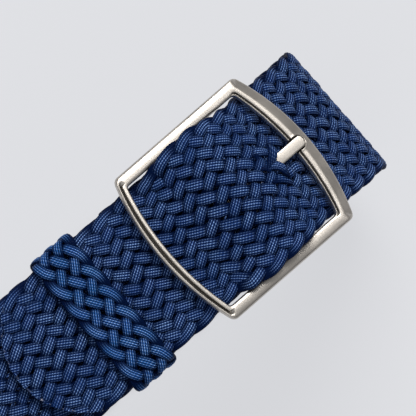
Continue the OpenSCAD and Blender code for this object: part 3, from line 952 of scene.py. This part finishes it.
class STRAP_OT_band(bpy.types.Operator):
    """Builds the braid of the band, from the doubled end round the bar to the tail"""

    bl_idname = "strap.band"
    bl_label = "Braid the band"

    def execute(self, context):
        course = Course()
        braid = Braid(course)
        at = {name: braid.unit_at(s) for name, s in course.start.items()}
        third = (at["over"] - at["loop"]) / 3
        cuts = [at["loop"] + round(third * i * RINGS_PER_UNIT) / RINGS_PER_UNIT for i in (1, 2)]
        # The tail's piece starts a little before its hinge.
        hinge = braid.unit_at(course.start["tail"] - 0.6 * MM)

        def clear_of_tongue(centres):
            """The doubled end leaves a slit for the tongue's roll, where it goes round the bar."""
            half_length, half_width = braid.hole.slit
            near = np.abs(centres[:, 0] - course.bar.x) < half_length
            return ~(near & (np.abs(centres[:, 1]) < half_width))

        stretches = [
            ("braid_fold", at["fold"], at["under"], "strap_fold", clear_of_tongue),
            ("braid_under", at["under"], at["loop"], "strap_under", None),
            ("braid_rear", at["loop"], cuts[0], "strap_loop", None),
            ("braid_base", cuts[0], cuts[1], "strap_loop", None),
            ("braid_front", cuts[1], at["over"], "strap_loop", None),
            ("braid_over", at["over"], hinge, "strap_over", None),
        ]
        for name, n0, n1, node, keep in stretches:
            mesh = tubes(name, braid_runs(braid, n0, n1, keep))
            add_piece(name, mesh, "Nylon braid", node, "strap")
        # The tail runs past its end, and is cut there.
        self.tail(braid, hinge, at["end"] + 1)
        return {"FINISHED"}

    def tail(self, braid, n0, n1):
        """The tail is cut round."""
        band, bar = braid.band, braid.course.bar
        mesh = tubes("braid_tail", braid_runs(braid, n0, n1))
        bm = bmesh.new()
        bm.from_mesh(mesh)
        middle = Vector((bar.x - band.tail_reach + band.tail_radius, 0, 0))
        # Straight cuts every few degrees round the tip.
        for degrees in range(-72, 73, 8):
            way = math.radians(degrees)
            out = Vector((-math.cos(way), math.sin(way), 0))
            cut_off(bm, middle + out * band.tail_radius, out)
        bm.to_mesh(mesh)
        bm.free()
        obj = add_piece("braid_tail", mesh, "Nylon braid", "strap_tail")
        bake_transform(obj)


class STRAP_OT_melted(bpy.types.Operator):
    """Builds the melted edges of the tail and of the doubled end, and the stitches"""

    bl_idname = "strap.melted"
    bl_label = "Melt and sew the ends"

    def execute(self, context):
        band, braid, ends = (getattr(context.scene, f"strap_{name}") for name in ("band", "braid", "ends"))
        rng = np.random.default_rng(5)
        # The tail's rim follows the cut, nearly to the band's edges.
        edge = math.asin(min(1, braid.width / 2 / band.tail_radius)) * 0.98
        t = np.linspace(-edge, edge, 150)
        sin, cos, zero = np.sin(t), np.cos(t), np.zeros_like(t)
        radius = band.tail_radius - ends.tail_bead[0]
        middle_x = Course().bar.x - band.tail_reach + band.tail_radius
        middle = (middle_x, 0, band.loop_height - band.thickness / 2)
        centre = middle + radius * np.stack([-cos, sin, zero], -1)
        tangent = np.stack([sin, cos, zero], -1)
        mesh = tubes("rim_tail", [self.bead(centre, tangent, *ends.tail_bead, rng)])
        add_piece("rim_tail", mesh, "Melted nylon", "tail_seal", "tail")
        # The doubled end's rim is straight.
        low, high = np.array(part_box("fold_seal"))
        y = np.linspace(-0.49, 0.49, 120) * braid.width
        centre = np.tile((low + high) / 2 + (ends.fold_shift, 0, 0), (len(y), 1))
        centre[:, 1] = y
        tangent = np.tile([0, 1.0, 0], (len(y), 1))
        mesh = tubes("rim_fold", [self.bead(centre, tangent, *ends.fold_bead, rng)])
        add_piece("rim_fold", mesh, "Melted nylon", "fold_seal", "strap")
        self.stitches(ends)
        return {"FINISHED"}

    def bead(self, centre, tangent, wide, high, rng):
        """A lumpy bead of melted nylon along a line."""
        rings, around = len(centre), 12
        across, up = ring_of(around)
        # Lumps run over five rings, and each point is rough by itself.
        soft = np.ones(5) / 3
        lumps = 1 + 0.25 * np.convolve(rng.uniform(-1, 1, rings + 4), soft, "valid")[:, None]
        rough = 1 + 0.16 * rng.uniform(-1, 1, (rings, around))
        normal = np.tile([0, 0, 1.0], (rings, 1))
        u = across * wide * lumps * rough
        # In height a bead is less lumpy than in width.
        v = up * high * (0.8 + 0.2 * lumps) * rough
        return swept(centre, tangent, normal, u, v), 1

    def stitches(self, ends):
        """Two rows of stitches, each a flattened ring of thread through both layers."""
        low, high = np.array(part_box("fold_stitches"))
        middle, size = (low + high) / 2, high - low
        across, up = ring_of(40, power=0.35)
        half_z = size[2] / 2 - ends.thread
        ring = np.stack([np.zeros_like(across), ends.stitch_half * across, half_z * up], -1)
        tangent = unit(np.roll(ring, -1, 0) - np.roll(ring, 1, 0))
        normal = np.tile([1.0, 0, 0], (len(ring), 1))
        u, v = (np.tile(side * ends.thread, (len(ring), 1)) for side in ring_of(8))
        pitch = (size[1] - 2 * ends.stitch_margin) / (ends.per_row - 1)
        inset = 0.1 * MM
        runs = []
        for x in (high[0] - inset, low[0] + inset):
            for i in range(ends.per_row):
                y = (i - (ends.per_row - 1) / 2) * pitch
                runs.append((swept(ring + (x, y, middle[2]), tangent, normal, u, v), 1))
        mesh = tubes("stitches", runs, closed=True)
        add_piece("stitches", mesh, "Thread", "fold_stitches", "strap")


class STRAP_OT_keeper(bpy.types.Operator):
    """Builds the braided keeper and the melted join under it"""

    bl_idname = "strap.keeper"
    bl_label = "Braid the keeper"

    def execute(self, context):
        keeper, braid = context.scene.strap_keeper, context.scene.strap_braid
        middle_x = Course().bar.x - keeper.near - keeper.width / 2
        # The ring's middle line starts and ends in the middle of its lower side.
        flat, tall = (keeper.half - keeper.corner, 0), (keeper.top - keeper.low - 2 * keeper.corner, 0)
        bend = arc(keeper.corner, -math.pi / 2)
        start = (0.0, 0.0, keeper.low, math.pi)
        ring = [start] + walk(start, [flat, bend, tall, bend, flat, flat, bend, tall, bend, flat], steps=39)
        line = np.array(ring).T
        total = line[0, -1]

        def place(n, cord):
            d, height = track(n, cord, keeper.strands, keeper.lean)
            y, z, h = (np.interp(np.mod(n / keeper.units, 1) * total, line[0], line[i]) for i in (1, 2, 3))
            normal = np.stack([np.zeros_like(h), -np.sin(h), np.cos(h)], -1)
            x = middle_x + (d - keeper.strands / 2) * keeper.row
            return np.stack([x, y, z], -1) + normal * (keeper.wave * height)[:, None], normal, height

        # The keeper's ring is small, so it has twice as many rings of points.
        fine = 2 * RINGS_PER_UNIT
        n = np.arange(keeper.units * fine + 1) / fine
        runs = []
        for cord in range(keeper.strands):
            centre, normal, height = place(n, cord)
            u, v = cord_section(braid, height, keeper.cord_width)
            points = swept(centre, direction(place, n, cord), normal, u, v)
            runs.append((points, total * keeper.take_up / MM, depth_of(braid, height, v)))
        mesh = tubes("braid_keeper", runs)
        add_piece("braid_keeper", mesh, "Nylon keeper", "keeper", "keeper")
        self.join()
        return {"FINISHED"}

    def join(self):
        """The join is a flat melted patch."""
        low, high = (Vector(v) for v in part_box("keeper_join"))
        bm = bmesh.new()
        bmesh.ops.create_cube(bm, size=1)
        bmesh.ops.bevel(
            bm, geom=bm.edges[:], offset=0.18, segments=3, profile=0.5, affect="EDGES", material=-1
        )
        bmesh.ops.scale(bm, vec=high - low, verts=bm.verts)
        bmesh.ops.translate(bm, vec=(low + high) / 2, verts=bm.verts)
        patch = mesh_from(bm, "keeper_patch")
        add_piece("keeper_patch", patch, "Melted nylon", "keeper_join", "keeper")


# Each point of a bar's section: share of the bar's width from its outer edge, offset from there in mm,
# height in mm, and a 0 where it is the bottom of a groove, which gets painted shade. All three bars have the
# same back.
BACK = [(1, 0, -0.35), (1, -0.12, -0.62), (1, -0.4, -0.75), (0, 0.45, -0.75), (0, 0.12, -0.6)]
FRONT_PROFILE = [
    (0, 0, -0.3), (0, 0, -0.05), (0, 0.05, 0.08), (0, 0.2, 0.18), (0.22, 0.02, 0.36), (0.42, 0, 0.6),
    (0.52, 0, 0.72), (0.6, 0, 0.76), (1, -0.64, 0.75), (1, -0.54, 0.7), (1, -0.47, 0.42, 0),
    (1, -0.34, 0.42, 0), (1, -0.28, 0.66), (1, -0.15, 0.66), (1, -0.04, 0.5), (1, 0, 0.3), *BACK,
]
REAR_PROFILE = [
    (0, 0, -0.3), (0, 0, 0.25), (0, 0.04, 0.5), (0, 0.12, 0.62), (0, 0.26, 0.67), (0, 0.36, 0.66),
    (0, 0.46, 0.6), (0, 0.56, 0.3, 0), (0, 0.76, 0.3, 0), (0, 0.88, 0.68), (0, 0.96, 0.74),
    (1, -0.46, 0.75), (1, -0.3, 0.75), (1, -0.13, 0.7), (1, -0.03, 0.5), (1, 0, 0.25), *BACK,
]
SIDE_PROFILE = [
    (0, 0, -0.3), (0, 0, 0.1), (0, 0.03, 0.32), (0, 0.1, 0.5), (0, 0.22, 0.62), (0, 0.4, 0.69),
    (0.35, 0, 0.73), (0.5, 0, 0.75), (0.65, 0, 0.75), (1, -0.5, 0.745), (1, -0.4, 0.735),
    (1, -0.3, 0.71), (1, -0.2, 0.67), (1, -0.11, 0.6), (1, -0.04, 0.48), (1, 0, 0.3), *BACK,
]

# Steps of the frame's edge: along half of the front bar, round a corner, along a side and half the rear bar.
# Those next to the front bar's middle are close together, for the notch.
NOTCH_STEPS, FRONT_STEPS, CORNER_STEPS, SIDE_STEPS, REAR_STEPS = 24, 47, 8, 39, 29
NOTCH_SPAN = 1.8 * MM


def bar_section(profile, width):
    """The profile as points on a rounded line: distance from the outer edge, height, and 0 in a groove, for
    painted shade.
    """
    rows = [(part * width + off * MM, up * MM, *(groove or [1])) for part, off, up, *groove in profile]
    points = np.array(rows)
    for _ in range(2):
        after = np.roll(points, -1, 0)
        pairs = [0.75 * points + 0.25 * after, 0.25 * points + 0.75 * after]
        points = np.stack(pairs, 1).reshape(-1, 3)
    return points


def bow(reach, radius, y):
    """How far ahead a bow of that reach and radius lies, at y from its middle."""
    return reach - (radius - np.sqrt(radius**2 - y**2))


def bent_corner(start, corner, end):
    """Points of a curve that rounds a corner, without its start."""
    t = np.linspace(0, 1, CORNER_STEPS + 1)[1:, None]
    return (1 - t) ** 2 * start + 2 * t * (1 - t) * corner + t**2 * end


def half_edge(half, front, rear, radius):
    """One edge of the frame, from the front bar's middle down the left side to the rear bar's middle."""
    close = np.linspace(0, NOTCH_SPAN, NOTCH_STEPS)
    y = np.concatenate([close, np.linspace(NOTCH_SPAN, half - radius, FRONT_STEPS - NOTCH_STEPS + 1)[1:]])
    front_line = np.stack([bow(*front, y), y], -1)
    front_x, rear_x = bow(*front, half), -bow(*rear, half)
    x = np.linspace(front_x - radius, rear_x + radius, SIDE_STEPS + 1)[1:]
    side_line = np.stack([x, np.full(SIDE_STEPS, half)], -1)
    y = np.linspace(half - radius, 0, REAR_STEPS + 1)
    rear_line = np.stack([-bow(*rear, y), y], -1)
    return np.concatenate([
        front_line,
        bent_corner(front_line[-1], np.array([front_x, half]), np.array([front_x - radius, half])),
        side_line,
        bent_corner(side_line[-1], np.array([rear_x, half]), rear_line[0]),
        rear_line[1:],
    ])


def in_frame_plane(points, bar, tilt):
    """Points of the buckle's own plane, in their place round the bar."""
    x, y, z = np.moveaxis(points, -1, 0)
    cos, sin = math.cos(tilt), math.sin(tilt)
    return np.stack([bar.x + x * cos + z * sin, y, bar.z - x * sin + z * cos], -1)


class STRAP_OT_buckle(bpy.types.Operator):
    """Builds the buckle's frame with its lips and its notch, and dresses the spring bar"""

    bl_idname = "strap.buckle"
    bl_label = "Shape the buckle"

    def execute(self, context):
        buckle = context.scene.strap_buckle
        bar = Course().bar
        outer, inner, bowed = self.edges(buckle)
        # Rounding a profile doubles its points twice.
        points = np.empty((len(outer), 4 * len(SIDE_PROFILE), 3))
        shade = np.empty(points.shape[:2])
        for i, (start, end, part) in enumerate(zip(outer, inner, bowed)):
            width = float(np.linalg.norm(end - start))
            across = bar_section(FRONT_PROFILE if start[0] > 0 else REAR_PROFILE, width)
            section = across * part + bar_section(SIDE_PROFILE, width) * (1 - part)
            points[i, :, 0:2] = start + (end - start) / width * section[:, :1]
            points[i, :, 2] = section[:, 1]
            shade[i] = section[:, 2]
        self.notch(buckle, points, shade)
        way_round = np.linalg.norm(np.roll(outer, -1, 0) - outer, axis=1).sum() / MM
        mesh = tubes("buckle", [(in_frame_plane(points, bar, buckle.tilt), way_round, shade)], closed=True)
        add_piece("buckle", mesh, "Satin steel", "buckle_frame", "buckle")
        for node in ("bar_tube", "bar_tip_left", "bar_tip_right"):
            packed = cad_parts[node].data.materials
            packed.clear()
            packed.append(material("Bright steel"))
        low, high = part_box("bar_spring")
        self.half_spring(bar, "spring_left", "tip_left", high[1])
        self.half_spring(bar, "spring_right", "tip_right", low[1])
        return {"FINISHED"}

    def half_spring(self, bar, name, tip, end):
        """Half of the coil between the tips."""
        bm = bmesh.new()
        bm.from_mesh(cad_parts["bar_spring"].data)
        cut_off(bm, (0, 0, 0), (0, -math.copysign(1, end), 0))
        obj = add_piece(name, mesh_from(bm, name), "Bright steel", "bar_spring")
        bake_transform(obj)

    def edges(self, buckle):
        """Matching points of the outer and inner edge, all the way round, and how much each is of a bow."""
        front, rear = (buckle.front_out, buckle.front_bow), (buckle.rear_out, buckle.rear_bow)
        outer = half_edge(buckle.half_outer, front, rear, buckle.corner)
        front = (buckle.front_out - buckle.front_width, buckle.front_inner_bow)
        rear = (buckle.rear_out - buckle.rear_width, buckle.rear_inner_bow)
        inner = half_edge(buckle.half_inner, front, rear, buckle.inner_corner)
        # A bow goes over into the side bar within three steps of the corner's middle.
        first = FRONT_STEPS + CORNER_STEPS / 2
        second = first + CORNER_STEPS + SIDE_STEPS
        index, soft = np.arange(len(outer)), 3
        bowed = np.clip((np.maximum(first - index, index - second) + soft) / (2 * soft), 0, 1)
        mirror = np.array([1, -1])
        outer = np.concatenate([outer, outer[-2:0:-1] * mirror])
        inner = np.concatenate([inner, inner[-2:0:-1] * mirror])
        return outer, inner, np.concatenate([bowed, bowed[-2:0:-1]])

    def notch(self, buckle, points, shade):
        """Presses the notch for the tongue into the front bar, with a low rim round it, and paints a line of
        shade just inside its wall.
        """
        x, y, up = points[..., 0], points[..., 1], points[..., 2]
        half = buckle.notch_width / 2
        end = buckle.notch_reach - half
        away = np.where(x > end, np.hypot(x - end, y), np.abs(y)) - half
        # Only the front bar is pressed, and the rim leaves its inner edge out.
        bar_from, gap_from, rim_from = 8 * MM, 9 * MM, 10 * MM
        front = (x > bar_from) & (up > buckle.notch_floor)
        inside = np.clip(0.5 - away / buckle.notch_wall, 0, 1)
        sunk = up + (buckle.notch_floor - up) * inside
        rim_place, rim_width = 0.16 * MM, 0.13 * MM
        rim = buckle.notch_rim * hill(away - rim_place, rim_width) * (x > rim_from)
        points[..., 2] = np.where(front, sunk + rim, up)
        # Painted shade: a dark line lies just inside the notch's wall.
        gap_place, gap_width = -0.03 * MM, 0.14 * MM
        gap = hill(away - gap_place, gap_width) * (x > gap_from)
        shade *= np.where(front, 1 - gap, 1)


class STRAP_OT_tongue(bpy.types.Operator):
    """Builds the tongue, rolled round the bar"""

    bl_idname = "strap.tongue"
    bl_label = "Shape the tongue"

    def execute(self, context):
        tongue = context.scene.strap_tongue
        # The middle line goes from the roll's free end behind the bar, under the bar and up in front of
        # it to the top, and from there along the strip to the tip.
        turn = np.linspace(tongue.roll_start, tongue.roll_end, 60)
        roll = (tongue.roll + tongue.thickness / 2) * np.stack([np.cos(turn), np.sin(turn)], -1)
        start, tip = roll[-1], np.array([tongue.reach, tongue.tip_low + tongue.thickness / 2])
        round_end = tongue.width / 2
        part = np.linspace(0, 1, 60)[1:, None]
        strip = start * (1 - part) + tip * part
        strip = strip[strip[:, 0] < tongue.reach - round_end]
        # More rings at the tip, for its rounding.
        x = tongue.reach - round_end * (1 - np.sin(np.linspace(0, math.pi / 2, 12)[1:]))
        end = np.stack([x, np.interp(x, [start[0], tip[0]], [start[1], tip[1]])], -1)
        x, z = np.concatenate([roll, strip, end]).T
        past = np.clip((x - (tongue.reach - round_end)) / round_end, 0, 1)
        fullness, blunt = 3.5, 0.03
        width = (1 - past**fullness) ** (1 / fullness) * (1 - blunt) + blunt
        across, up = ring_of(20, power=0.3)
        u = width[:, None] * across * tongue.width / 2
        v = np.tile(up * tongue.thickness / 2, (len(x), 1))
        centre = np.stack([x, np.zeros_like(x), z], -1)
        tangent = unit(np.gradient(centre, axis=0))
        normal = np.cross(tangent, (0, 1.0, 0))
        rings = swept(centre, tangent, normal, u, v)
        placed = in_frame_plane(rings, Course().bar, context.scene.strap_buckle.tilt)
        brushed_length = 20
        mesh = tubes("tongue_shaped", [(placed, brushed_length, np.ones(placed.shape[:2]))])
        add_piece("tongue_shaped", mesh, "Satin steel", "tongue", "tongue")
        return {"FINISHED"}


# Each lamp: name, place and size in metres, power in watts, and tint.
LAMPS = (
    ("key", (0.32, 0.29, 0.55), 0.3, 3.75, (1, 0.98, 0.96)),
    ("fill", (-0.5, -0.3, 0.6), 0.6, 0.8, (0.94, 0.97, 1)),
)
LAMP_TARGET = Vector((0.02, 0, 0.04))
SENSOR = 36


class STRAP_OT_stage(bpy.types.Operator):
    """Sets the floor, the sky, the lamps and the camera"""

    bl_idname = "strap.stage"
    bl_label = "Set the stage"

    def execute(self, context):
        scene = context.scene
        stage, colours = scene.strap_stage, scene.strap_colours
        self.floor(stage, colours)
        scene.world = self.sky(colours)
        for lamp in LAMPS:
            self.lamp(scene, *lamp)
        data = bpy.data.cameras.new("camera")
        data.sensor_width = SENSOR
        data.lens = SENSOR * stage.distance / stage.view
        data.clip_end = 10
        camera = bpy.data.objects.new("camera", data)
        camera.location = (stage.middle_x, stage.middle_y, scene.strap_band.loop_height + stage.distance)
        camera.rotation_euler = (0, 0, stage.turn)
        scene.collection.objects.link(camera)
        scene.camera = camera
        scene.view_settings.view_transform = "Standard"
        return {"FINISHED"}

    def floor(self, stage, colours):
        """A pale floor that keeps the object's shadow."""
        bm = bmesh.new()
        under = Matrix.Translation((0, 0, -stage.floor_drop))
        bmesh.ops.create_grid(bm, x_segments=1, y_segments=1, size=stage.floor_half, matrix=under)
        pale, n, shader = new_material("Floor", colours.floor, roughness=0.9)
        shader.inputs["Specular IOR Level"].default_value = 0
        # The camera and reflections see mostly the plain backdrop, with some of the shadow in it.
        plain_share = 0.82
        path = n.add("ShaderNodeLightPath").outputs
        seen = n.math("ADD", path["Is Camera Ray"], path["Is Glossy Ray"], clamp=True)
        plain = n.add("ShaderNodeEmission", {"Color": (*colours.backdrop, 1)})
        both = n.add("ShaderNodeMixShader")
        n.link(n.math("MULTIPLY", seen, plain_share), both.inputs[0])
        n.link(shader.outputs[0], both.inputs[1])
        n.link(plain.outputs[0], both.inputs[2])
        n.link(both.outputs[0], pale.node_tree.nodes["Material Output"].inputs["Surface"])
        add_object("floor", mesh_from(bm, "floor"), pale)

    def sky(self, colours):
        """Bright overhead and darker towards the horizon."""
        world = bpy.data.worlds.new("Studio")
        world.use_nodes = True
        back = world.node_tree.nodes["Background"]
        back.inputs["Strength"].default_value = 0.45
        n = Nodes(world.node_tree)
        height = n.split(n.add("ShaderNodeTexCoord").outputs["Generated"])["Z"]
        rise = n.spread(height, low=0.1, high=0.9, way="SMOOTHSTEP")
        n.link(n.mix(rise, colours.sky_low, colours.sky_high), back.inputs["Color"])
        return world

    def lamp(self, scene, name, place, size, power, tint):
        data = bpy.data.lights.new(name, "AREA")
        data.shape = "RECTANGLE"
        data.size = data.size_y = size
        data.energy = power
        data.color = tint
        obj = bpy.data.objects.new(name, data)
        obj.location = place
        obj.rotation_euler = (LAMP_TARGET - Vector(place)).to_track_quat("-Z", "Y").to_euler()
        scene.collection.objects.link(obj)


class STRAP_PT_panel(bpy.types.Panel):
    """Sizes and colours of the strap, and a button for every piece"""

    bl_idname = "STRAP_PT_panel"
    bl_label = "Braided strap"
    bl_space_type = "VIEW_3D"
    bl_region_type = "UI"
    bl_category = "Strap"

    def draw(self, context):
        for name, group in GROUPS.items():
            box = self.layout.box()
            box.label(text=group.__doc__)
            for size in group.__annotations__:
                box.prop(getattr(context.scene, name), size)
        for operator in OPERATORS:
            self.layout.operator(operator.bl_idname)


GROUPS = {
    "strap_band": BandSizes,
    "strap_braid": BraidSizes,
    "strap_hole": HoleSizes,
    "strap_keeper": KeeperSizes,
    "strap_ends": EndSizes,
    "strap_buckle": BuckleSizes,
    "strap_tongue": TongueSizes,
    "strap_stage": StageSizes,
    "strap_colours": StrapColours,
}
OPERATORS = [
    STRAP_OT_band, STRAP_OT_melted, STRAP_OT_keeper, STRAP_OT_buckle, STRAP_OT_tongue, STRAP_OT_stage,
]


def register():
    for name, group in GROUPS.items():
        bpy.utils.register_class(group)
        setattr(bpy.types.Scene, name, PointerProperty(type=group))
    for operator in OPERATORS:
        bpy.utils.register_class(operator)
    bpy.utils.register_class(STRAP_PT_panel)


def unregister():
    bpy.utils.unregister_class(STRAP_PT_panel)
    for operator in reversed(OPERATORS):
        bpy.utils.unregister_class(operator)
    for name, group in GROUPS.items():
        delattr(bpy.types.Scene, name)
        bpy.utils.unregister_class(group)


def main():
    register()
    bpy.ops.strap.band()
    bpy.ops.strap.melted()
    bpy.ops.strap.keeper()
    bpy.ops.strap.buckle()
    bpy.ops.strap.tongue()
    bpy.ops.strap.stage()


if __name__ == "__main__":
    main()
